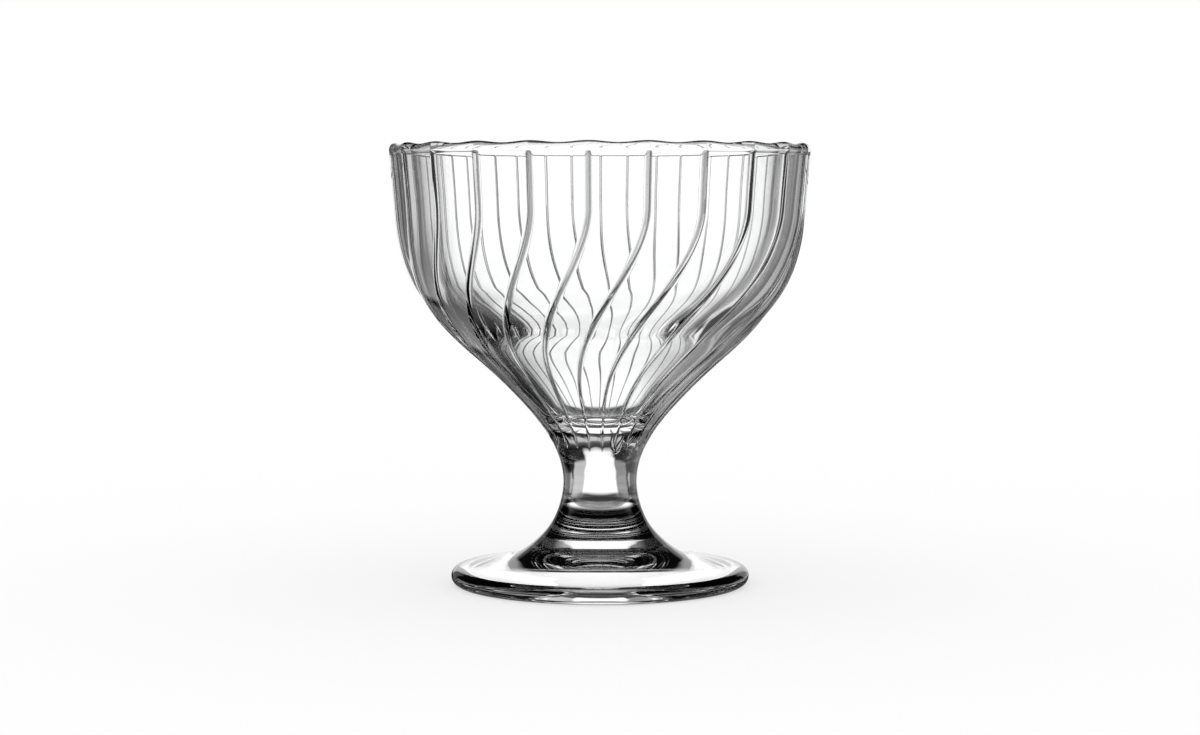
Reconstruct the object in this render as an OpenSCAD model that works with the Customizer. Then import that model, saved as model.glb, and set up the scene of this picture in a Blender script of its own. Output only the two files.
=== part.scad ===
// Footed dessert glass in clear glass: a wide bowl with swirled ribs, a short solid stem and a round foot.
// The three sections are fused end to end, each on a flat joint square to the axis.
// Lengths are in millimetres, +Z is up, and the origin is the middle of the face that the glass stands on.

/* [Bowl] */
// Diameter over the lip
rim_d = 102; // [84:1:120]
// Height of the bowl, from its joint with the stem to the crests of the lip
bowl_h = 75.5; // [64:0.5:90]
// Thickness of the lip across its rounded top
lip_t = 2.8; // [2.2:0.1:3.4]
// Height of the rounded top of the lip
lip_h = 1.7; // [1.2:0.1:2.2]
// Height from trough to crest of the slow wave that the ribs leave in the lip
lip_wave = 0.45; // [0:0.05:0.6]
// Thickness of the wall at the belly
belly_wall = 3.2; // [2.6:0.1:4]
// Thickness of the wall of the cone below the belly
cone_wall = 4.2; // [3.4:0.1:4.8]
// Length over which the inside wall turns at the ridge between belly and cone
ridge_run = 6; // [3:0.5:9]
// Thickness of the glass between the bottom of the cavity and the stem joint
floor_t = 9; // [6:0.5:10]

/* [Ribs] */
// Number of ribs around the bowl
rib_count = 23; // [16:1:24]
// Width of a rib at its root
rib_w = 1.8; // [1.2:0.1:2.4]
// Height of a rib above the flat panels beside it, at the lip
rib_h = 0.7; // [0.3:0.05:0.9]
// Distance from the top of the bowl down to the start of the ribs
rib_drop = 1.8; // [1.7:0.1:5]
// Length over which a rib rises out of the lip
rib_run_in = 1.2; // [0.8:0.1:4]
// Length over which a rib sinks away at its lower end
rib_run_out = 3.5; // [2.5:0.5:8]
// Height of the round glass between the stem joint and the lower ends of the ribs
rib_lift = 2; // [1:0.5:5]
// Angle that each rib turns through on its way down the belly
swirl_angle = 25.5; // [0:0.5:40]
// Angle of one rib from the front of the glass at the lip
first_rib_angle = -3; // [-10:0.5:10]

/* [Stem] */
// Height of the stem, from its joint with the foot to its joint with the bowl
stem_h = 24.5; // [18:0.5:40]
// Diameter of the joint between the stem and the bowl
neck_d = 20.4; // [16:0.2:24]
// Diameter of the waist, the thinnest place of the stem
waist_d = 17.9; // [12:0.1:20]
// Diameter of the joint between the stem and the foot
root_d = 41.4; // [34:0.2:46]

/* [Foot] */
// Height of the foot, from the table to the joint with the stem
foot_h = 7; // [6:0.5:10]
// Diameter of the foot
foot_d = 72.5; // [62:0.5:84]
// Thickness of the foot's rounded edge
edge_t = 4.2; // [3:0.1:5]
// Width of the flat ring that the glass stands on
rest_w = 1.6; // [1:0.1:3]
// Height of the hollow inside that ring, in its middle
hollow_h = 5.5; // [3:0.1:5.6]

/* [Hidden] */
$fn = 96;

stem_z = foot_h;
bowl_z = foot_h + stem_h;
rim_r = rim_d / 2;
neck_r = neck_d / 2;
root_r = root_d / 2;
foot_r = foot_d / 2;
pitch_angle = 360 / rib_count;
clear_glass = [0.86, 0.93, 0.94, 0.35];

// Lean of the outside wall from upright, in degrees, at each station of the outline
lip_lean = 4;
shoulder_lean = 4.5;
belly_lean = 30.5;
cone_lean = 49;
neck_lean = 41;
joint_lean = 21;
root_lean = -61;

// Stations of the outside of the bowl: share of the rim radius, share of the bowl's height
shoulder_shares = [0.9775, 0.788];
belly_shares = [0.8667, 0.523];
cone_shares = [0.596, 0.3166];
neck_shares = [0.329, 0.138];

// Steps along each stretch of an outline, more where it bends more
outer_steps = [1, 3, 4, 5, 4, 4];
inner_steps = [2, 3, 2, 2, 3, 2, 2];
lip_steps = 4;
stem_steps = [7, 7, 6, 7];
foot_top_steps = [6, 4];
foot_edge_steps = 12;
hollow_steps = [6, 5];

// A place on an outline is [radius, height, lean from upright]
function place(shares, lean) = [shares[0] * rim_r, bowl_z + shares[1] * bowl_h, lean];

// The same place moved inwards, square to the wall, by the wall's thickness
function inside(p, wall) = [p[0] - wall * cos(p[2]), p[1] + wall * sin(p[2]), p[2]];

// Smooth curve between two places that leaves and arrives at their leans
function heading(p, reach) = reach * [-sin(p[2]), -cos(p[2])];
function span(a, b) = norm([b[0] - a[0], b[1] - a[1]]);
function curve_at(a, b, t) =
    (2 * t^3 - 3 * t^2 + 1) * [a[0], a[1]] + (t^3 - 2 * t^2 + t) * heading(a, span(a, b))
    + (3 * t^2 - 2 * t^3) * [b[0], b[1]] + (t^3 - t^2) * heading(b, span(a, b));
function stretch(a, b, steps) = [for (i = [0 : steps - 1]) curve_at(a, b, i / steps)];
function outline(places, steps) = [
    for (i = [0 : len(places) - 2]) each stretch(places[i], places[i + 1], steps[i]),
    [places[len(places) - 1][0], places[len(places) - 1][1]]
];

// Rises from 0 to 1 with no corner as x goes from 0 to 1
function ease(x) = let(t = min(1, max(0, x))) t * t * (3 - 2 * t);

// Outside of the bowl from the lip down to the stem joint
rim_z = bowl_z + bowl_h;
lip_z = rim_z - lip_h;
rib_whole_z = rim_z - rib_drop - rib_run_in;
outer_places = [
    [rim_r, lip_z, lip_lean],
    [rim_r - (lip_z - rib_whole_z) * tan(lip_lean), rib_whole_z, lip_lean],
    place(shoulder_shares, shoulder_lean),
    place(belly_shares, belly_lean),
    place(cone_shares, cone_lean),
    place(neck_shares, neck_lean),
    [neck_r, bowl_z, joint_lean]
];
outer_line = outline(outer_places, outer_steps);

// Inside of the bowl from the lip down to the bottom of the cavity. Where the belly meets the cone
// the wall turns over a soft ridge, from one lean to a steeper one.
ridge_shares = [0.596, 0.399];
ridge_upper_lean = 52;
ridge_lower_lean = 42;
ridge = place(ridge_shares, (ridge_upper_lean + ridge_lower_lean) / 2);
ridge_half = [sin(ridge[2]), cos(ridge[2])] * ridge_run / 2;
cone_end = inside(place(neck_shares, neck_lean), cone_wall);
cone_end_lean = 46;
cavity_floor_z = bowl_z + floor_t;

// Turn from the cone into the bottom of the cavity: share of the radius where the cone ends, share of the
// floor's thickness
cavity_turn_shares = [0.735, 0.155];
cavity_turn_lean = 66;
inner_places = [
    [rim_r - lip_t, lip_z, lip_lean],
    inside(place(shoulder_shares, shoulder_lean), belly_wall),
    inside(place(belly_shares, belly_lean), belly_wall),
    [ridge[0] + ridge_half[0], ridge[1] + ridge_half[1], ridge_upper_lean],
    [ridge[0] - ridge_half[0], ridge[1] - ridge_half[1], ridge_lower_lean],
    [cone_end[0], cone_end[1], cone_end_lean],
    [cavity_turn_shares[0] * cone_end[0], cavity_floor_z + cavity_turn_shares[1] * floor_t, cavity_turn_lean],
    [0, cavity_floor_z, 90]
];
inner_line = outline(inner_places, inner_steps);

// How far a rib stands up at height z: 0 where it has sunk away, 1 where it is whole
function rib_share(z) =
    ease((rib_whole_z + rib_run_in - z) / rib_run_in) * ease((z - bowl_z - rib_lift) / rib_run_out);

// How far a rib has turned at height z, between two shares of the bowl's height
swirl_shares = [0.8, 0.154];
swirl_top_z = bowl_z + swirl_shares[0] * bowl_h;
swirl_low_z = bowl_z + swirl_shares[1] * bowl_h;
function swirl(z) = swirl_angle * ease((swirl_top_z - z) / (swirl_top_z - swirl_low_z));

// A rib is largest at the lip and smallest, by this share, towards the axis
rib_least_share = 0.2;
function rib_size(r) = rib_least_share + (1 - rib_least_share) * min(1, r / rim_r);

// Angles from the middle of a rib, across one panel, to just before the next rib
function half_rib_angle(r) = rib_size(r) * rib_w / 2 / r * 180 / PI;
function rib_stations(r) = let(h = half_rib_angle(r))
    [0, h / 2, h, pitch_angle / 2, pitch_angle - h, pitch_angle - h / 2];

// Radius of the ribbed outside at angle a from the middle of a rib, where crests lie at radius r. The
// power makes the crest fine and lets its sides run out into the panels.
rib_crest_power = 1.6;
function from_rib(a) = min(a, pitch_angle - a);
function panel_r(r, a) = r * cos(pitch_angle / 2) / cos(pitch_angle / 2 - from_rib(a));
function rib_rise(r, a) = rib_size(r) * rib_h * max(0, 1 - from_rib(a) / half_rib_angle(r))^rib_crest_power;
function ribbed_r(r, z, a) = r + rib_share(z) * (panel_r(r, a) - r + rib_rise(r, a) - rib_size(r) * rib_h);

// Rings of points around the glass
function at_angle(r, a, z) = [r * sin(a), -r * cos(a), z];
function outer_ring(r, z) = [
    for (i = [0 : rib_count - 1]) for (a = rib_stations(r))
        at_angle(ribbed_r(r, z, a), first_rib_angle - swirl(z) + i * pitch_angle + a, z)
];
function round_ring(r, z, wave) = let(n = rib_count * len(rib_stations(rim_r))) [
    for (i = [0 : n - 1]) let(a = 360 * i / n)
        at_angle(r, first_rib_angle + a, z - wave * (1 - cos(a * rib_count)) / 2)
];

// The lip is half an oval from its outer edge over the top to its inner edge
function lip_ring(turn) =
    round_ring(rim_r - lip_t / 2 + lip_t / 2 * cos(turn), lip_z + lip_h * sin(turn), lip_wave * sin(turn));

bowl_rings = concat(
    [for (i = [len(outer_line) - 1 : -1 : 1]) outer_ring(outer_line[i][0], outer_line[i][1])],
    [for (i = [0 : lip_steps - 1]) lip_ring(180 * i / lip_steps)],
    [for (i = [0 : len(inner_line) - 2]) round_ring(inner_line[i][0], inner_line[i][1], 0)]
);

// Closed solid through the rings, capped at the first ring and drawn to a point at the last
module ring_solid(rings, tip, base) {
    n = len(rings[0]);
    last = (len(rings) - 1) * n;
    points = concat([for (ring = rings) each ring], [tip, base]);
    tip_point = len(points) - 2;
    base_point = len(points) - 1;
    faces = concat(
        [for (k = [0 : len(rings) - 2]) for (i = [0 : n - 1]) let(j = (i + 1) % n)
            each [[k * n + i, (k + 1) * n + j, k * n + j], [k * n + i, (k + 1) * n + i, (k + 1) * n + j]]],
        [for (i = [0 : n - 1]) [last + i, tip_point, last + (i + 1) % n]],
        [for (i = [0 : n - 1]) [(i + 1) % n, base_point, i]]
    );
    polyhedron(points = points, faces = faces, convexity = 6);
}

// Bowl: swirled ribs and flat panels outside, smooth cavity inside, rounded lip
module bowl() {
    color(clear_glass)
        ring_solid(bowl_rings, [0, 0, cavity_floor_z], [0, 0, bowl_z]);
}

// Stem: solid, round, drawn in to a waist and flared out to the foot
waist_share = 0.735;
waist_z = stem_z + waist_share * stem_h;
flare_shares = [0.545, 0.365];
ankle_shares = [0.755, 0.147];
flare_lean = -26.5;
ankle_lean = -48;
stem_places = [
    [neck_r, bowl_z, joint_lean],
    [waist_d / 2, waist_z, 0],
    [flare_shares[0] * root_r, stem_z + flare_shares[1] * stem_h, flare_lean],
    [ankle_shares[0] * root_r, stem_z + ankle_shares[1] * stem_h, ankle_lean],
    [root_r, stem_z, root_lean]
];
module stem() {
    color(clear_glass)
        rotate_extrude()
            polygon(concat([[0, bowl_z]], outline(stem_places, stem_steps), [[0, stem_z]]));
}

// Foot: low dome with a full round edge, a flat ring to stand on and a hollow inside the ring, which rises
// along with the top of the dome
edge_top_share = 0.94;
brow_shares = [0.745, 0.333];
brow_lean = -79;
edge_lean = -82;
foot_top_places = [
    [root_r, foot_h, root_lean],
    [brow_shares[0] * foot_r, edge_t + brow_shares[1] * (foot_h - edge_t), brow_lean],
    [edge_top_share * foot_r, edge_t, edge_lean]
];
foot_edge_r = (1 - edge_top_share) * foot_r;
hollow_r = edge_top_share * foot_r - rest_w;
hollow_shares = [0.5, 0.62];
hollow_edge_lean = 100;
hollow_lean = 108;
hollow_places = [
    [hollow_r, 0, hollow_edge_lean],
    [hollow_shares[0] * hollow_r, hollow_shares[1] * hollow_h, hollow_lean],
    [0, hollow_h, 90]
];
foot_points = concat(
    [[0, foot_h]],
    outline(foot_top_places, foot_top_steps),
    [for (i = [1 : foot_edge_steps]) let(turn = 90 - 180 * i / foot_edge_steps)
        [edge_top_share * foot_r + foot_edge_r * cos(turn), edge_t / 2 * (1 + sin(turn))]],
    outline(hollow_places, hollow_steps)
);
module foot() {
    color(clear_glass)
        rotate_extrude()
            polygon(foot_points);
}

bowl();
stem();
foot();
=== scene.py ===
# Footed dessert glass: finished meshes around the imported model, clear glass and a plain pale studio.
# Lengths are in metres and angles in radians. Heights are above the floor and +Z is up. The glass
# stands on the middle of the floor, with its first rib a little left of the side that faces the camera.
import math
from collections import namedtuple

import bpy
import numpy as np
from bpy.props import FloatProperty, FloatVectorProperty, IntProperty, PointerProperty
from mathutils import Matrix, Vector


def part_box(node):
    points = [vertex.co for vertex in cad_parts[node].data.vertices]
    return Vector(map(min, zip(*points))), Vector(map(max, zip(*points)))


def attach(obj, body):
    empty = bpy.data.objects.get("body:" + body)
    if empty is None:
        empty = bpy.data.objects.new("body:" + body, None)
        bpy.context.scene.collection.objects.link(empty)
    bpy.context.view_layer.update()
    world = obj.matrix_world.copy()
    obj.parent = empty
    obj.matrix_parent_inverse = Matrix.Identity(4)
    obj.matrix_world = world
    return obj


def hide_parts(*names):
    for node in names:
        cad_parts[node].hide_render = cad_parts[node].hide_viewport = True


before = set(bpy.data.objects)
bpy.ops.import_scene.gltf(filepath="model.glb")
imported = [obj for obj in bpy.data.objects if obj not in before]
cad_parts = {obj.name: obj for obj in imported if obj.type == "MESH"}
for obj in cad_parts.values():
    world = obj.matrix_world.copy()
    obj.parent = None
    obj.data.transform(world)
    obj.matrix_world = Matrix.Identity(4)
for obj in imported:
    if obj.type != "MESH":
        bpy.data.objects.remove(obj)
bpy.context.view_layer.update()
bowl_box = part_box("bowl")
stem_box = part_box("stem")
foot_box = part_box("foot")

bl_info = {
    "name": "Footed Dessert Glass",
    "version": (1, 0, 0),
    "blender": (4, 5, 0),
    "location": "3D View > Sidebar > Dessert Glass",
    "description": "Builds the bowl, stem and foot of a ribbed dessert glass, and a pale studio",
    "category": "Object",
}

BODY = "root"


def half_width(box):
    """Smaller half of the width and the depth of a box."""
    low, high = box
    return min(high.x - low.x, high.y - low.y) / 2


# Sizes that a user would change


class BowlSettings(bpy.types.PropertyGroup):
    """Sizes of the bowl, its lip, its walls and its ribs."""

    rim_radius: FloatProperty(
        name="Rim Radius",
        description="Radius over the lip",
        default=half_width(bowl_box),
        unit="LENGTH",
    )
    lip_thickness: FloatProperty(
        name="Lip Thickness",
        description="Thickness across the rounded lip",
        default=0.0028,
        unit="LENGTH",
    )
    lip_height: FloatProperty(
        name="Lip Height",
        description="Height of the rounded top of the lip",
        default=0.0017,
        unit="LENGTH",
    )
    lip_wave: FloatProperty(
        name="Lip Wave",
        description="Height of the slow wave along the lip",
        default=0.00045,
        unit="LENGTH",
    )
    belly_wall: FloatProperty(
        name="Belly Wall",
        description="Thickness of the wall at the belly",
        default=0.0032,
        unit="LENGTH",
    )
    cone_wall: FloatProperty(
        name="Cone Wall",
        description="Thickness of the wall of the cone below the belly",
        default=0.0042,
        unit="LENGTH",
    )
    ridge_run: FloatProperty(
        name="Ridge Run",
        description="Length over which the inside wall turns from belly to cone",
        default=0.006,
        unit="LENGTH",
    )
    floor_thickness: FloatProperty(
        name="Floor Thickness",
        description="Glass between the bottom of the cavity and the stem",
        default=0.009,
        unit="LENGTH",
    )
    rib_count: IntProperty(
        name="Rib Count",
        description="Number of ribs around the bowl",
        default=23,
        min=3,
    )
    rib_width: FloatProperty(
        name="Rib Width",
        description="Width of a rib at its root",
        default=0.0018,
        unit="LENGTH",
    )
    rib_height: FloatProperty(
        name="Rib Height",
        description="Height of a rib above the panels beside it",
        default=0.0007,
        unit="LENGTH",
    )
    rib_drop: FloatProperty(
        name="Rib Drop",
        description="Distance from the lip down to the first rise of the ribs",
        default=0.0018,
        unit="LENGTH",
    )
    rib_run_in: FloatProperty(
        name="Rib Run In",
        description="Length over which a rib rises below the lip",
        default=0.0012,
        unit="LENGTH",
    )
    rib_run_out: FloatProperty(
        name="Rib Run Out",
        description="Length over which a rib sinks away above the stem",
        default=0.0035,
        unit="LENGTH",
    )
    rib_lift: FloatProperty(
        name="Rib Lift",
        description="Height of round glass between the stem and the ends of the ribs",
        default=0.002,
        unit="LENGTH",
    )
    swirl_angle: FloatProperty(
        name="Swirl",
        description="Angle that a rib turns through on its way down",
        default=math.radians(25.5),
        unit="ROTATION",
    )
    first_rib_angle: FloatProperty(
        name="First Rib",
        description="Angle of one rib from the front at the lip",
        default=math.radians(-3),
        unit="ROTATION",
    )


class StemSettings(bpy.types.PropertyGroup):
    """Sizes of the stem."""

    neck_radius: FloatProperty(
        name="Neck Radius",
        description="Radius of the joint between stem and bowl",
        default=0.0102,
        unit="LENGTH",
    )
    waist_radius: FloatProperty(
        name="Waist Radius",
        description="Radius of the thinnest place",
        default=0.00895,
        unit="LENGTH",
    )
    root_radius: FloatProperty(
        name="Root Radius",
        description="Radius of the joint between stem and foot",
        default=half_width(stem_box),
        unit="LENGTH",
    )


class FootSettings(bpy.types.PropertyGroup):
    """Sizes of the foot."""

    foot_radius: FloatProperty(
        name="Foot Radius",
        description="Radius of the foot",
        default=half_width(foot_box),
        unit="LENGTH",
    )
    edge_thickness: FloatProperty(
        name="Edge Thickness",
        description="Thickness of the rounded edge",
        default=0.0042,
        unit="LENGTH",
    )
    rest_width: FloatProperty(
        name="Rest Width",
        description="Width of the ring that the glass stands on",
        default=0.0016,
        unit="LENGTH",
    )
    hollow_height: FloatProperty(
        name="Hollow Height",
        description="Height of the shallow hollow under the foot",
        default=0.0055,
        unit="LENGTH",
    )


class GlassSettings(bpy.types.PropertyGroup):
    """Look of the glass."""

    tint: FloatVectorProperty(
        name="Tint",
        description="Colour of light that has passed one wall",
        default=(0.996, 0.998, 1.0),
        subtype="COLOR",
        min=0,
        max=1,
    )
    ior: FloatProperty(
        name="IOR",
        description="Refractive index of soda-lime glass",
        default=1.52,
        min=1,
    )
    ripple_height: FloatProperty(
        name="Ripple Height",
        description="Height of the faint unevenness that pressing leaves",
        default=0.00001,
        unit="LENGTH",
    )


class StageSettings(bpy.types.PropertyGroup):
    """Camera and floor."""

    camera_distance: FloatProperty(
        name="Camera Distance",
        description="From the axis of the glass to the camera",
        default=0.64,
        unit="LENGTH",
    )
    camera_height: FloatProperty(
        name="Camera Height",
        description="Height of the camera over the floor",
        default=0.097,
        unit="LENGTH",
    )
    aim_height: FloatProperty(
        name="Aim Height",
        description="Height on the axis that the camera looks at",
        default=0.0527,
        unit="LENGTH",
    )
    lens: FloatProperty(
        name="Lens",
        description="Focal length in millimetres",
        default=79.2,
        unit="CAMERA",
    )
    floor_radius: FloatProperty(
        name="Floor Radius",
        description="Radius of the pale floor",
        default=0.6,
        unit="LENGTH",
    )


SETTINGS = {
    "dessert_bowl": BowlSettings,
    "dessert_stem": StemSettings,
    "dessert_foot": FootSettings,
    "dessert_glass": GlassSettings,
    "dessert_stage": StageSettings,
}


# Outlines: a place is (radius, height, lean of the wall from upright). A wall that comes inwards on its
# way down has a lean over 0, and a line that runs inwards and up has one over 90 degrees.

# Heights of the joints and of the lip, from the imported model
foot_top_z = foot_box[1].z
bowl_z = bowl_box[0].z
rim_z = bowl_box[1].z

# Leans of the outside of the bowl, from the lip down to the joint with the stem
LIP_LEAN = math.radians(4)
SHOULDER_LEAN = math.radians(4.5)
BELLY_LEAN = math.radians(30.5)
CONE_LEAN = math.radians(49)
NECK_LEAN = math.radians(41)
JOINT_LEAN = math.radians(21)

# Leans of the inside of the bowl, above and below the ridge and down to the bottom of the cavity
RIDGE_LEANS = (math.radians(52), math.radians(42))
CONE_END_LEAN = math.radians(46)
CAVITY_TURN_LEAN = math.radians(66)
LEVEL_LEAN = math.radians(90)

# Leans of the stem and of the top of the foot, which widen on their way down
FLARE_LEAN = math.radians(-26.5)
ANKLE_LEAN = math.radians(-48)
ROOT_LEAN = math.radians(-61)
BROW_LEAN = math.radians(-79)
EDGE_LEAN = math.radians(-82)

# Leans of the hollow under the foot
HOLLOW_EDGE_LEAN = math.radians(100)
HOLLOW_LEAN = math.radians(108)

# Places on the bowl, as shares of its rim radius and of its height
SHOULDER_SHARE = (0.9775, 0.788)
BELLY_SHARE = (0.8667, 0.523)
CONE_SHARE = (0.596, 0.3166)
NECK_SHARE = (0.329, 0.138)
RIDGE_SHARE = (0.596, 0.399)

# Where the swirl begins and ends, as shares of the height of the bowl
SWIRL_SHARE = (0.8, 0.154)

# Turn into the bottom of the cavity: share of the radius at the end of the cone, and height above the
# bottom as a share of the thickness under it
CAVITY_TURN_SHARE = (0.735, 0.155)

# Waist as a share of the height of the stem, and its other places as shares of the root radius and of
# the height
WAIST_SHARE = 0.735
FLARE_SHARE = (0.545, 0.365)
ANKLE_SHARE = (0.755, 0.147)

# Brow as shares of the foot radius and of the height from the edge to the stem, where the round edge
# begins as a share of the foot radius, and a place in the hollow as shares of its radius and height
BROW_SHARE = (0.745, 0.333)
EDGE_TOP_SHARE = 0.94
HOLLOW_SHARE = (0.5, 0.62)

# Rib: how much closer points stand on it, the share of its size that it would keep at the axis, and the
# power that draws its sides in towards the crest
RIB_CROWDING = 0.45
RIB_LEAST = 0.2
RIB_CREST = 1.6

# Points across one pitch of the ribs, and steps along each stretch of an outline
POINTS_PER_PITCH = 24
OUTER_STEPS = (6, 10, 16, 16, 14, 10)
INNER_STEPS = (10, 14, 6, 12, 12, 10, 6)
LIP_STEPS = 14
STEM_STEPS = (14, 16, 14, 16)
FOOT_TOP_STEPS = (14, 8)
FOOT_EDGE_STEPS = 20
HOLLOW_STEPS = (14, 12)


def curve_between(start, end, steps):
    """Smooth curve from start to just before end. It leaves and arrives at their leans."""
    a, b = np.array(start[:2]), np.array(end[:2])
    reach = np.linalg.norm(b - a)
    leave = -reach * np.array([math.sin(start[2]), math.cos(start[2])])
    arrive = -reach * np.array([math.sin(end[2]), math.cos(end[2])])
    t = np.arange(steps)[:, None] / steps
    return (
        (2 * t**3 - 3 * t**2 + 1) * a
        + (t**3 - 2 * t**2 + t) * leave
        + (3 * t**2 - 2 * t**3) * b
        + (t**3 - t**2) * arrive
    )


def outline(places, steps):
    """Points (radius, height) through the places, with as many steps for each stretch as steps says."""
    stretches = [curve_between(a, b, n) for a, b, n in zip(places[:-1], places[1:], steps)]
    return np.vstack([*stretches, [places[-1][:2]]])


def inside(place, wall):
    """The place moved inwards, square to the wall, by the wall's thickness."""
    r, z, lean = place
    return (r - wall * math.cos(lean), z + wall * math.sin(lean), lean)


def ease(x):
    """Rises from 0 to 1 with no corner as x goes from 0 to 1."""
    t = np.clip(x, 0, 1)
    return t * t * (3 - 2 * t)


def ring(bowl, r, z, panel=0.0, rib=0.0, wave=0.0, turn=0.0):
    """One ring of points at radius r and height z. panel and rib say how far the flat panels and the
    ribs are formed there, wave is the height of the slow wave, and turn is the swirl down to there."""
    count = bowl.rib_count
    pitch = math.tau / count
    share = np.arange(POINTS_PER_PITCH) / POINTS_PER_PITCH
    if panel > 0 or rib > 0:
        # Points stand closer together on the rib, at both ends of the pitch
        share = share - RIB_CROWDING * np.sin(math.tau * share) / math.tau
    angle = (np.arange(count)[:, None] + share).ravel() * pitch
    from_rib = np.tile(np.minimum(share, 1 - share) * pitch, count)
    flat = r * math.cos(pitch / 2) / np.cos(pitch / 2 - from_rib)
    size = RIB_LEAST + (1 - RIB_LEAST) * min(1.0, r / bowl.rim_radius)
    half = size * bowl.rib_width / 2
    tall = size * bowl.rib_height
    rise = tall * np.maximum(0, 1 - from_rib * r / half) ** RIB_CREST
    radius = r + panel * (flat - r) + rib * (rise - tall)
    theta = bowl.first_rib_angle - turn + angle
    height = z - wave * (1 - np.cos(angle * count)) / 2
    return np.stack([radius * np.sin(theta), -radius * np.cos(theta), height], 1)


def whole_rib_z(bowl):
    """Height under the lip where the ribs have risen to their full height."""
    return rim_z - bowl.rib_drop - bowl.rib_run_in


def bowl_outline(bowl, stem):
    """Outside and inside of the bowl, each from the lip down."""
    height = rim_z - bowl_z

    def place(share, lean):
        return (share[0] * bowl.rim_radius, bowl_z + share[1] * height, lean)

    lip_z = rim_z - bowl.lip_height
    whole_z = whole_rib_z(bowl)
    outer = [
        (bowl.rim_radius, lip_z, LIP_LEAN),
        (bowl.rim_radius - (lip_z - whole_z) * math.tan(LIP_LEAN), whole_z, LIP_LEAN),
        place(SHOULDER_SHARE, SHOULDER_LEAN),
        place(BELLY_SHARE, BELLY_LEAN),
        place(CONE_SHARE, CONE_LEAN),
        place(NECK_SHARE, NECK_LEAN),
        (stem.neck_radius, bowl_z, JOINT_LEAN),
    ]
    ridge_lean = sum(RIDGE_LEANS) / 2
    ridge = place(RIDGE_SHARE, ridge_lean)
    run = bowl.ridge_run / 2
    across, down = run * math.sin(ridge_lean), run * math.cos(ridge_lean)
    cone_end = inside(outer[5], bowl.cone_wall)
    floor_z = bowl_z + bowl.floor_thickness
    inner = [
        (bowl.rim_radius - bowl.lip_thickness, lip_z, LIP_LEAN),
        inside(outer[2], bowl.belly_wall),
        inside(outer[3], bowl.belly_wall),
        (ridge[0] + across, ridge[1] + down, RIDGE_LEANS[0]),
        (ridge[0] - across, ridge[1] - down, RIDGE_LEANS[1]),
        (*cone_end[:2], CONE_END_LEAN),
        (
            CAVITY_TURN_SHARE[0] * cone_end[0],
            floor_z + CAVITY_TURN_SHARE[1] * bowl.floor_thickness,
            CAVITY_TURN_LEAN,
        ),
        (0.0, floor_z, LEVEL_LEAN),
    ]
    return outline(outer, OUTER_STEPS), outline(inner, INNER_STEPS)


def bowl_rings(bowl, stem):
    """Rings of the bowl from the stem joint up the outside, over the lip and down into the cavity."""
    outer, inner = bowl_outline(bowl, stem)
    height = rim_z - bowl_z
    whole_z = whole_rib_z(bowl)
    swirl_top, swirl_low = (bowl_z + share * height for share in SWIRL_SHARE)
    rings = []
    for r, z in outer[::-1][:-1]:
        sink = ease((z - bowl_z - bowl.rib_lift) / bowl.rib_run_out)
        rise = ease((whole_z + bowl.rib_run_in - z) / bowl.rib_run_in)
        turn = bowl.swirl_angle * ease((swirl_top - z) / (swirl_top - swirl_low))
        rings.append(ring(bowl, r, z, panel=sink, rib=sink * rise, turn=turn))
    middle = bowl.rim_radius - bowl.lip_thickness / 2
    lip_z = rim_z - bowl.lip_height
    for step in range(LIP_STEPS):
        angle = math.pi * step / LIP_STEPS
        r = middle + bowl.lip_thickness / 2 * math.cos(angle)
        z = lip_z + bowl.lip_height * math.sin(angle)
        panel = ease((math.cos(angle) + 1) / 2)
        rings.append(ring(bowl, r, z, panel=panel, wave=bowl.lip_wave * math.sin(angle)))
    rings += [ring(bowl, r, z) for r, z in inner[:-1]]
    return np.array(rings), (0, 0, inner[-1][1])


def stem_rings(bowl, stem):
    """Rings of the stem from its joint with the foot up to its joint with the bowl."""
    height = bowl_z - foot_top_z

    def place(share, lean):
        return (share[0] * stem.root_radius, foot_top_z + share[1] * height, lean)

    places = [
        (stem.neck_radius, bowl_z, JOINT_LEAN),
        (stem.waist_radius, foot_top_z + WAIST_SHARE * height, 0.0),
        place(FLARE_SHARE, FLARE_LEAN),
        place(ANKLE_SHARE, ANKLE_LEAN),
        (stem.root_radius, foot_top_z, ROOT_LEAN),
    ]
    return np.array([ring(bowl, r, z) for r, z in outline(places, STEM_STEPS)[::-1]])


def foot_rings(bowl, stem, foot):
    """Rings of the foot from the middle of its hollow out to the edge and up to its joint with the
    stem."""
    edge = EDGE_TOP_SHARE * foot.foot_radius
    bulge = foot.foot_radius - edge
    top = outline(
        [
            (stem.root_radius, foot_top_z, ROOT_LEAN),
            (
                BROW_SHARE[0] * foot.foot_radius,
                foot.edge_thickness + BROW_SHARE[1] * (foot_top_z - foot.edge_thickness),
                BROW_LEAN,
            ),
            (edge, foot.edge_thickness, EDGE_LEAN),
        ],
        FOOT_TOP_STEPS,
    )
    turns = np.pi / 2 - np.pi * np.arange(1, FOOT_EDGE_STEPS + 1) / FOOT_EDGE_STEPS
    round_edge = np.stack(
        [edge + bulge * np.cos(turns), foot.edge_thickness / 2 * (1 + np.sin(turns))], 1
    )
    hollow_radius = edge - foot.rest_width
    hollow = outline(
        [
            (hollow_radius, 0.0, HOLLOW_EDGE_LEAN),
            (
                HOLLOW_SHARE[0] * hollow_radius,
                HOLLOW_SHARE[1] * foot.hollow_height,
                HOLLOW_LEAN,
            ),
            (0.0, foot.hollow_height, LEVEL_LEAN),
        ],
        HOLLOW_STEPS,
    )
    line = np.vstack([top, round_edge, hollow[:-1]])
    return np.array([ring(bowl, r, z) for r, z in line[::-1]]), (0, 0, foot.hollow_height)


# Meshes

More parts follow.
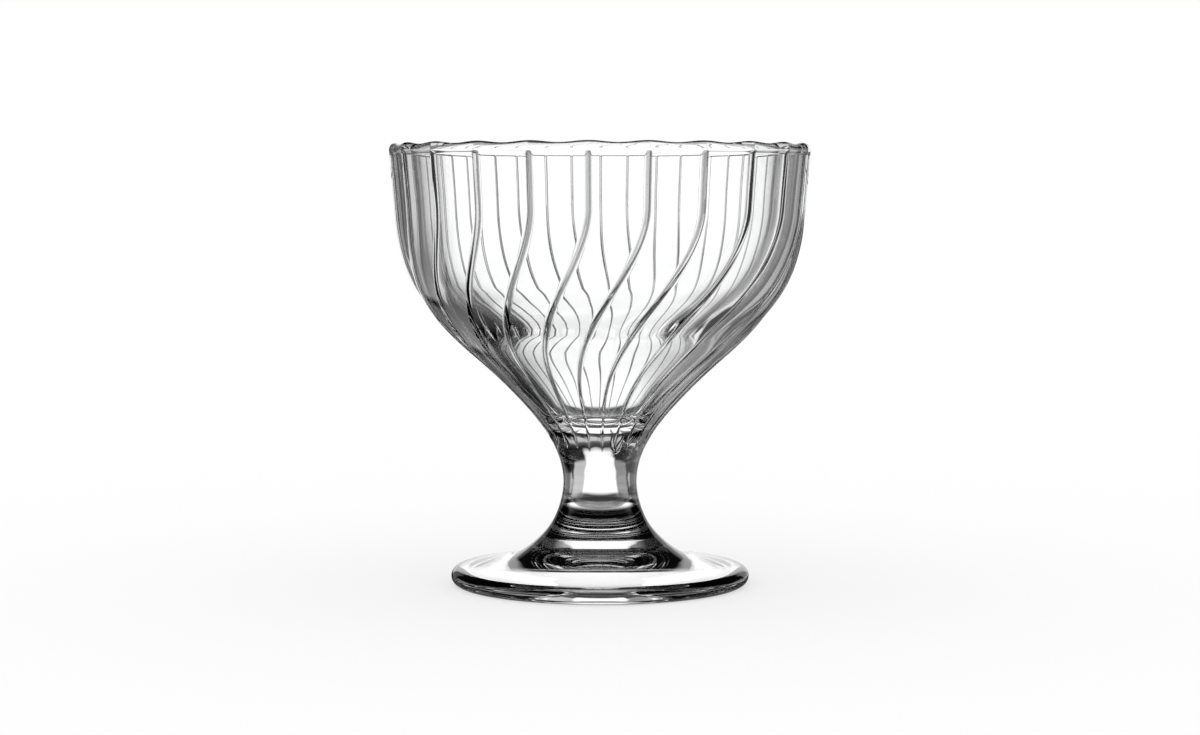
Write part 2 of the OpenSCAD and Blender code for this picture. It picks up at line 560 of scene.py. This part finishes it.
UP = np.array([0.0, 0.0, 1.0])
GLASS_SLOT = 0
JOINT_SLOT = 1

# End of a tube of rings: the ring that it closes, its middle point and normal, whether the wall runs
# smoothly into it, and the slot of its material
Cap = namedtuple("Cap", "row middle normal smooth slot")


def glass_cap(row, middle, normal):
    """End of clear glass, which the wall runs smoothly into."""
    return Cap(row, middle, normal, True, GLASS_SLOT)


def joint_cap(row, height, normal):
    """Flat end, where the glass is fused to the next section."""
    return Cap(row, (0, 0, height), normal, False, JOINT_SLOT)


def grid_normals(rings):
    """Smooth normals of a tube of rings, from the directions along and across it."""
    along = np.gradient(rings, axis=0)
    across = np.roll(rings, -1, axis=1) - np.roll(rings, 1, axis=1)
    normals = np.cross(across, along)
    return normals / np.linalg.norm(normals, axis=2, keepdims=True)


def crest_normals(rings, normals, rows):
    """Normals before and after each column of points. They differ only along the sharp crests of the
    ribs, in the first rows of the grid."""
    along = np.gradient(rings, axis=0)[:rows, ::POINTS_PER_PITCH]
    before, after = normals.copy(), normals.copy()
    crest = rings[:rows, ::POINTS_PER_PITCH]
    for sided, across in (
        (before, crest - np.roll(rings, 1, axis=1)[:rows, ::POINTS_PER_PITCH]),
        (after, np.roll(rings, -1, axis=1)[:rows, ::POINTS_PER_PITCH] - crest),
    ):
        square = np.cross(across, along)
        sided[:rows, ::POINTS_PER_PITCH] = square / np.linalg.norm(square, axis=2, keepdims=True)
    return before, after


def leaning_normals(ring_points, lean):
    """Normals of a round wall that leans by lean, at the points of one ring."""
    flat = ring_points[:, :2] / np.linalg.norm(ring_points[:, :2], axis=1, keepdims=True)
    return np.hstack([flat * math.cos(lean), np.full((len(flat), 1), -math.sin(lean))])


def build_piece(name, rings, normals, caps, glass, crests=None):
    """Closed mesh of glass through the rings, with a cap at each end. crests are the normals before and
    after each column of points, where they differ."""
    rows, count = rings.shape[:2]
    points = list(rings.reshape(-1, 3))
    faces, face_normals, slots = [], [], []
    flat_normals = normals.reshape(-1, 3)
    before, after = (side.reshape(-1, 3) for side in crests or (normals, normals))
    here = np.arange(count)
    there = (here + 1) % count
    for row in range(rows - 1):
        low, high = row * count, (row + 1) * count
        for i, j in zip(here, there):
            faces.append((low + i, low + j, high + j, high + i))
            face_normals += [after[low + i], before[low + j], before[high + j], after[high + i]]
            slots.append(GLASS_SLOT)
    for cap in caps:
        points.append(cap.middle)
        centre = len(points) - 1
        base = cap.row * count
        for i, j in zip(here, there):
            first, second = (j, i) if cap.row == 0 else (i, j)
            corners = (base + first, base + second, centre)
            faces.append(corners)
            edge = [flat_normals[c] if cap.smooth else cap.normal for c in corners[:2]]
            face_normals += [*edge, cap.normal]
            slots.append(cap.slot)
    mesh = bpy.data.meshes.new(name)
    mesh.from_pydata([tuple(p) for p in points], [], faces)
    for material in (glass, fused_joint()):
        mesh.materials.append(material)
    mesh.polygons.foreach_set("material_index", slots)
    mesh.polygons.foreach_set("use_smooth", [True] * len(faces))
    mesh.update()
    mesh.normals_split_custom_set([tuple(n) for n in face_normals])
    piece = bpy.data.objects.new(name, mesh)
    bpy.context.scene.collection.objects.link(piece)
    return piece


def seat(piece, node):
    """The piece stands for the CAD node: it hangs on the body, and the node is hidden."""
    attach(piece, BODY)
    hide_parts(node)


# Node helpers

DEGREES_PER_RADIAN = 180 / math.pi


def link_math(tree, operation, *values):
    """A Math node on numbers or sockets, and its output."""
    node = tree.nodes.new("ShaderNodeMath")
    node.operation = operation
    for socket, value in zip(node.inputs, values):
        if isinstance(value, (int, float)):
            socket.default_value = value
        else:
            tree.links.new(value, socket)
    return node.outputs[0]


def product(tree, first, *rest):
    """All the values multiplied together."""
    for value in rest:
        first = link_math(tree, "MULTIPLY", first, value)
    return first


def highest(tree, first, *rest):
    """The highest of the values."""
    for value in rest:
        first = link_math(tree, "MAXIMUM", first, value)
    return first


def link_ramp(tree, value, low, high, start=0.0, end=1.0):
    """Goes smoothly from start to end as value goes from low to high."""
    node = tree.nodes.new("ShaderNodeMapRange")
    node.interpolation_type = "SMOOTHSTEP"
    tree.links.new(value, node.inputs["Value"])
    node.inputs["From Min"].default_value = low
    node.inputs["From Max"].default_value = high
    node.inputs["To Min"].default_value = start
    node.inputs["To Max"].default_value = end
    return node.outputs["Result"]


def window(tree, value, low, high, soft):
    """1 where value lies between low and high, with soft ends, else 0."""
    up = link_ramp(tree, value, low - soft, low + soft)
    down = link_ramp(tree, value, high - soft, high + soft, 1.0, 0.0)
    return product(tree, up, down)


def split_place(tree, kind):
    """X, Y and Z of a place or direction, of the kind that a Texture Coordinate node gives."""
    place = tree.nodes.new("ShaderNodeTexCoord")
    split = tree.nodes.new("ShaderNodeSeparateXYZ")
    tree.links.new(place.outputs[kind], split.inputs[0])
    return split.outputs


def side_angle(tree, x, y):
    """Angle round the glass from straight behind it, in degrees, which is over 0 at the right."""
    return product(tree, link_math(tree, "ARCTAN2", x, y), DEGREES_PER_RADIAN)


# Glass

# Ripples per metre of the unevenness that pressing leaves, and the layers of finer ones in it
RIPPLE_SCALE = 90.0
RIPPLE_DETAIL = 1.0

# Painted shade on the edges: the colour of the bowl and stem glass is darkened where it is seen at a
# grazing angle, in place of the dark edges that the surroundings would show through it. With this blend
# a facing is 0 where the glass is seen square on and 1 where it is seen edge on. Each pair holds the
# facings between which an edge darkens.
FACING_BLEND = 0.5
THIN_EDGE = (0.36, 0.64)
SOLID_EDGE = (0.26, 0.45)

# How dark the painted shade on the edge of a thin wall gets, the colour that it darkens to, and the
# height over which the solid glass above the stem passes into the thin wall
THIN_DARK = 0.92
EDGE_SHADE_COLOUR = (0.01, 0.01, 0.011)
SOLID_RUN = 0.012


def clear_glass(name):
    """Clear pressed glass, with the faint unevenness that the mould and the fire polish leave."""
    look = bpy.context.scene.dessert_glass
    material = bpy.data.materials.new(name)
    material.use_nodes = True
    tree = material.node_tree
    shader = tree.nodes["Principled BSDF"]
    shader.inputs["Base Color"].default_value = (*look.tint, 1)
    shader.inputs["Transmission Weight"].default_value = 1.0
    shader.inputs["Roughness"].default_value = 0.0
    shader.inputs["IOR"].default_value = look.ior
    place = tree.nodes.new("ShaderNodeTexCoord")
    ripples = tree.nodes.new("ShaderNodeTexNoise")
    ripples.inputs["Scale"].default_value = RIPPLE_SCALE
    ripples.inputs["Detail"].default_value = RIPPLE_DETAIL
    tree.links.new(place.outputs["Object"], ripples.inputs["Vector"])
    bump = tree.nodes.new("ShaderNodeBump")
    bump.inputs["Strength"].default_value = 1.0
    bump.inputs["Distance"].default_value = look.ripple_height
    tree.links.new(ripples.outputs["Fac"], bump.inputs["Height"])
    tree.links.new(bump.outputs["Normal"], shader.inputs["Normal"])
    return material


def edge_shaded_glass(name):
    """Clear glass with painted shade on its edges: its colour darkens where one looks along a wall of
    it. The painted shade is broader and darker on solid glass, which is the stem and the glass just
    above it."""
    material = clear_glass(name)
    tree = material.node_tree
    look = bpy.context.scene.dessert_glass
    grazing = tree.nodes.new("ShaderNodeLayerWeight")
    grazing.inputs["Blend"].default_value = FACING_BLEND
    facing = grazing.outputs["Facing"]
    _, _, height = split_place(tree, "Object")
    solid = link_ramp(tree, height, bowl_z, bowl_z + SOLID_RUN, 1.0, 0.0)
    thin_edge = link_ramp(tree, facing, *THIN_EDGE, 0.0, THIN_DARK)
    solid_edge = product(tree, solid, link_ramp(tree, facing, *SOLID_EDGE))
    # Painted shade: the colour of the glass is mixed towards near black where it is seen at a grazing
    # angle
    shade = tree.nodes.new("ShaderNodeMix")
    shade.data_type = "RGBA"
    tree.links.new(highest(tree, thin_edge, solid_edge), shade.inputs["Factor"])
    shade.inputs["A"].default_value = (*look.tint, 1)
    shade.inputs["B"].default_value = (*EDGE_SHADE_COLOUR, 1)
    tree.links.new(shade.outputs["Result"], tree.nodes["Principled BSDF"].inputs["Base Color"])
    return material


def fused_joint():
    """The place inside the glass where two sections are fused: nothing is seen of it."""
    known = bpy.data.materials.get("fused_joint")
    if known:
        return known
    material = bpy.data.materials.new("fused_joint")
    material.use_nodes = True
    tree = material.node_tree
    tree.nodes.clear()
    clear = tree.nodes.new("ShaderNodeBsdfTransparent")
    out = tree.nodes.new("ShaderNodeOutputMaterial")
    tree.links.new(clear.outputs[0], out.inputs["Surface"])
    return material


class OBJECT_OT_dessert_bowl(bpy.types.Operator):
    """Build the bowl with its swirled ribs, flat panels, smooth cavity and rounded lip"""

    bl_idname = "object.dessert_bowl"
    bl_label = "Bowl"

    def execute(self, context):
        scene = context.scene
        rings, tip = bowl_rings(scene.dessert_bowl, scene.dessert_stem)
        normals = grid_normals(rings)
        normals[0] = leaning_normals(rings[0], JOINT_LEAN)
        crests = crest_normals(rings, normals, sum(OUTER_STEPS))
        caps = [joint_cap(0, bowl_z, -UP), glass_cap(len(rings) - 1, tip, UP)]
        glass = edge_shaded_glass("bowl_glass")
        seat(build_piece("bowl_glass", rings, normals, caps, glass, crests), "bowl")
        return {"FINISHED"}


class OBJECT_OT_dessert_stem(bpy.types.Operator):
    """Build the solid stem, drawn in to its waist and flared out to the foot"""

    bl_idname = "object.dessert_stem"
    bl_label = "Stem"

    def execute(self, context):
        scene = context.scene
        rings = stem_rings(scene.dessert_bowl, scene.dessert_stem)
        normals = grid_normals(rings)
        normals[0] = leaning_normals(rings[0], ROOT_LEAN)
        normals[-1] = leaning_normals(rings[-1], JOINT_LEAN)
        caps = [joint_cap(0, foot_top_z, -UP), joint_cap(len(rings) - 1, bowl_z, UP)]
        glass = edge_shaded_glass("stem_glass")
        seat(build_piece("stem_glass", rings, normals, caps, glass), "stem")
        return {"FINISHED"}


class OBJECT_OT_dessert_foot(bpy.types.Operator):
    """Build the low domed foot with its full round edge and the shallow hollow under it"""

    bl_idname = "object.dessert_foot"
    bl_label = "Foot"

    def execute(self, context):
        scene = context.scene
        rings, tip = foot_rings(scene.dessert_bowl, scene.dessert_stem, scene.dessert_foot)
        normals = grid_normals(rings)
        normals[-1] = leaning_normals(rings[-1], ROOT_LEAN)
        caps = [glass_cap(0, tip, -UP), joint_cap(len(rings) - 1, foot_top_z, UP)]
        glass = clear_glass("foot_glass")
        seat(build_piece("foot_glass", rings, normals, caps, glass), "foot")
        return {"FINISHED"}


# Stage

WHITE = (1, 1, 1, 1)

# Camera: width of its sensor in millimetres, and the nearest distance that it sees
SENSOR_WIDTH = 36
CLIP_START = 0.01

# Light of the room as the glass shows it. Angles are in degrees: sides are counted from straight behind
# the glass, and heights from level. The white field has the first light, the screens have the second,
# and all lights but the first are shares of it. A soft value is half the width of a soft edge.
FIELD_LIGHT = 1.1
SCREEN_LIGHT = 0.015
FIELD_SOFT = 2
FIELD_LOW = -40

# White field behind the glass: how far it reaches to each side low down and high up, the heights between
# which it narrows, and its top
BACK_SIDE = 18
BACK_TOP_SIDE = 15
BACK_NARROWS = (4, 16)
BACK_TOP = 24.5
BACK_EDGE_SOFT = 3

# Grey wing beside the field: its width, its light at the left and at the right, and the heights over
# which it ends
WING_RUN = 16
WING_LIGHTS = (0.25, 0.5)
WING_TOP = (17, 23)

# Bar of light at each side
BAR_SIDES = (38, 78)
BAR_LIGHT = 0.8
BAR_TOP = 6

# White field before the glass, from the camera round to this side
FRONT_SIDE = 82
FRONT_TOP = 22
FRONT_SOFT = 6
FRONT_LIGHT = 0.85

# Pale ceiling
CEILING_HEIGHTS = (50, 60)
CEILING_LIGHT = 0.45

# Round floor: the number of its sides, how far it lies under the foot, and the share of its light that
# a shadow doesn't take
FLOOR_SIDES = 96
FLOOR_GAP = 0.00002
SHADOW_SOFTENING = 0.5

# Floor as the glass shows it: its least light, and the distances from the axis of the glass over which
# the bars and the field before the glass come up on it
FLOOR_SHADE_LIGHT = 0.02
BAR_FROM = (0.08, 0.12)
FRONT_FROM = (0.055, 0.10)

# White under the foot, with the distances over which it ends
UNDER_FOOT = (0.024, 0.038)
UNDER_LIGHT = 1.25

# Pale floor at the right, and the distances over which it comes up
RIGHT_SIDES = (36, 100)
RIGHT_SOFT = 4
RIGHT_FROM = (0.045, 0.055)
RIGHT_LIGHT = 0.9

# Shade of the stem, a strip behind it: the half widths over which it ends, the depths behind the axis
# of its dark part, and those of a weaker part that reaches further back
STRIP_HALF = (0.012, 0.028)
STRIP_SOFT = 0.006
STRIP_DEPTHS = (0.004, 0.066)
TAIL_DEPTHS = (0.0185, 0.075)
TAIL_SHADE = 0.4


def aim_camera(stage):
    """Camera at the photograph's angle, level in roll, a little below the rim."""
    data = bpy.data.cameras.new("camera")
    camera = bpy.data.objects.new("camera", data)
    bpy.context.scene.collection.objects.link(camera)
    camera.location = (0, -stage.camera_distance, stage.camera_height)
    look = Vector((0, 0, stage.aim_height)) - camera.location
    camera.rotation_euler = look.to_track_quat("-Z", "Y").to_euler()
    data.sensor_width = SENSOR_WIDTH
    data.lens = stage.lens
    data.clip_start = CLIP_START
    bpy.context.scene.camera = camera


def show_through_glass(tree, plain, shown, out):
    """The plain shader is what the camera sees. Rays that a glass surface has sent on or thrown back
    see the shown one instead."""
    path = tree.nodes.new("ShaderNodeLightPath")
    mix = tree.nodes.new("ShaderNodeMixShader")
    bent = highest(tree, path.outputs["Is Glossy Ray"], path.outputs["Is Transmission Ray"])
    tree.links.new(bent, mix.inputs[0])
    tree.links.new(plain.outputs[0], mix.inputs[1])
    tree.links.new(shown.outputs[0], mix.inputs[2])
    tree.links.new(mix.outputs[0], out.inputs["Surface"])


def field_round(tree, side, reach, wing_share=1.0):
    """Lights by the side that they stand at: the field behind the glass, the bars, and the field before
    it. The one behind is white out to the reach, and then a grey wing, which wing_share fades."""
    off = link_math(tree, "ABSOLUTE", side)
    beyond = link_math(tree, "SUBTRACT", off, reach)
    back = link_ramp(tree, beyond, -FIELD_SOFT, FIELD_SOFT, 1.0, 0.0)
    wing = link_ramp(tree, beyond, WING_RUN - FIELD_SOFT, WING_RUN + FIELD_SOFT, 1.0, 0.0)
    wing_light = link_ramp(tree, side, -FIELD_SOFT, FIELD_SOFT, *WING_LIGHTS)
    behind = highest(tree, back, product(tree, wing, wing_light, wing_share))
    bars = product(tree, window(tree, off, *BAR_SIDES, FIELD_SOFT), BAR_LIGHT)
    front_start, front_end = FRONT_SIDE - FRONT_SOFT, FRONT_SIDE + FRONT_SOFT
    before = link_ramp(tree, off, front_start, front_end, 0.0, FRONT_LIGHT)
    return behind, bars, before


def light_room():
    """Pale room. Through the glass it is a white field behind and before the glass, with dark screens
    and a bar of light at each side, which draw its edges."""
    world = bpy.data.worlds.new("studio")
    bpy.context.scene.world = world
    world.use_nodes = True
    tree = world.node_tree
    tree.nodes.clear()
    x, y, z = split_place(tree, "Generated")
    side = side_angle(tree, x, y)
    height = product(tree, link_math(tree, "ARCSINE", z), DEGREES_PER_RADIAN)
    reach = link_ramp(tree, height, *BACK_NARROWS, BACK_SIDE, BACK_TOP_SIDE)
    wing_share = link_ramp(tree, height, *WING_TOP, 1.0, 0.0)
    behind, bars, before = field_round(tree, side, reach, wing_share)
    behind = product(tree, behind, window(tree, height, FIELD_LOW, BACK_TOP, BACK_EDGE_SOFT))
    bars = product(tree, bars, window(tree, height, FIELD_LOW, BAR_TOP, BACK_EDGE_SOFT))
    before = product(tree, before, window(tree, height, FIELD_LOW, FRONT_TOP, FRONT_SOFT))
    ceiling = link_ramp(tree, height, *CEILING_HEIGHTS, SCREEN_LIGHT, CEILING_LIGHT)
    light = product(tree, highest(tree, ceiling, behind, bars, before), FIELD_LIGHT)
    field = tree.nodes.new("ShaderNodeBackground")
    field.inputs["Color"].default_value = WHITE
    tree.links.new(light, field.inputs["Strength"])
    plain = tree.nodes.new("ShaderNodeBackground")
    plain.inputs["Color"].default_value = WHITE
    show_through_glass(tree, plain, field, tree.nodes.new("ShaderNodeOutputWorld"))


def floor_light(tree):
    """Light of the floor where the glass shows it: the field of the room carried on over the floor,
    white under the foot, pale at the right, and dark behind the stem."""
    place = tree.nodes.new("ShaderNodeTexCoord")
    length = tree.nodes.new("ShaderNodeVectorMath")
    length.operation = "LENGTH"
    tree.links.new(place.outputs["Object"], length.inputs[0])
    far = length.outputs["Value"]
    x, depth, _ = split_place(tree, "Object")
    side = side_angle(tree, x, depth)
    behind, bars, before = field_round(tree, side, BACK_SIDE)
    bars = product(tree, bars, link_ramp(tree, far, *BAR_FROM))
    under = link_ramp(tree, far, *UNDER_FOOT, UNDER_LIGHT, 0.0)
    right = product(tree, window(tree, side, *RIGHT_SIDES, RIGHT_SOFT), RIGHT_LIGHT)
    right = product(tree, right, link_ramp(tree, far, *RIGHT_FROM))
    light = highest(tree, behind, FLOOR_SHADE_LIGHT, bars, under, right)
    strip = link_ramp(tree, link_math(tree, "ABSOLUTE", x), *STRIP_HALF, 1.0, 0.0)
    for depths, dark in ((STRIP_DEPTHS, 1.0), (TAIL_DEPTHS, TAIL_SHADE)):
        shade = product(tree, strip, window(tree, depth, *depths, STRIP_SOFT), dark)
        light = product(tree, light, link_math(tree, "SUBTRACT", 1.0, shade))
    before = product(tree, before, link_ramp(tree, far, *FRONT_FROM))
    return product(tree, highest(tree, light, before), FIELD_LIGHT)


def lay_floor(stage):
    """Round white floor, which keeps the shadow of the glass. The glass shows it by floor_light."""
    turns = [math.tau * i / FLOOR_SIDES for i in range(FLOOR_SIDES)]
    radius = stage.floor_radius
    edge = [(radius * math.cos(a), radius * math.sin(a), -FLOOR_GAP) for a in turns]
    mesh = bpy.data.meshes.new("floor")
    mesh.from_pydata(edge, [], [tuple(range(FLOOR_SIDES))])
    floor = bpy.data.objects.new("floor", mesh)
    bpy.context.scene.collection.objects.link(floor)
    material = bpy.data.materials.new("floor")
    material.use_nodes = True
    tree = material.node_tree
    tree.nodes.clear()
    matt = tree.nodes.new("ShaderNodeBsdfDiffuse")
    matt.inputs["Color"].default_value = WHITE
    pale = tree.nodes.new("ShaderNodeEmission")
    plain = tree.nodes.new("ShaderNodeMixShader")
    plain.inputs[0].default_value = SHADOW_SOFTENING
    tree.links.new(matt.outputs[0], plain.inputs[1])
    tree.links.new(pale.outputs[0], plain.inputs[2])
    glow = tree.nodes.new("ShaderNodeEmission")
    tree.links.new(floor_light(tree), glow.inputs["Strength"])
    show_through_glass(tree, plain, glow, tree.nodes.new("ShaderNodeOutputMaterial"))
    mesh.materials.append(material)


class SCENE_OT_dessert_stage(bpy.types.Operator):
    """Set the camera, the pale floor and the light round the glass"""

    bl_idname = "scene.dessert_stage"
    bl_label = "Stage"

    def execute(self, context):
        stage = context.scene.dessert_stage
        aim_camera(stage)
        light_room()
        lay_floor(stage)
        context.scene.view_settings.view_transform = "Standard"
        return {"FINISHED"}


class VIEW3D_PT_dessert_glass(bpy.types.Panel):
    """Settings and builders of the dessert glass"""

    bl_label = "Dessert Glass"
    bl_space_type = "VIEW_3D"
    bl_region_type = "UI"
    bl_category = "Dessert Glass"

    def draw(self, context):
        for name, settings in SETTINGS.items():
            box = self.layout.box()
            group = getattr(context.scene, name)
            for key in settings.__annotations__:
                box.prop(group, key)
        for operator in OPERATORS:
            self.layout.operator(operator.bl_idname)


OPERATORS = (
    OBJECT_OT_dessert_bowl,
    OBJECT_OT_dessert_stem,
    OBJECT_OT_dessert_foot,
    SCENE_OT_dessert_stage,
)
CLASSES = (*SETTINGS.values(), *OPERATORS, VIEW3D_PT_dessert_glass)


def register():
    """Register the settings, operators and panel, and hang the settings on the scene."""
    for cls in CLASSES:
        bpy.utils.register_class(cls)
    for name, settings in SETTINGS.items():
        setattr(bpy.types.Scene, name, PointerProperty(type=settings))


def unregister():
    """Take the settings off the scene and unregister everything."""
    for name in SETTINGS:
        delattr(bpy.types.Scene, name)
    for cls in reversed(CLASSES):
        bpy.utils.unregister_class(cls)


def main():
    register()
    bpy.ops.object.dessert_bowl()
    bpy.ops.object.dessert_stem()
    bpy.ops.object.dessert_foot()
    bpy.ops.scene.dessert_stage()


if __name__ == "__main__":
    main()
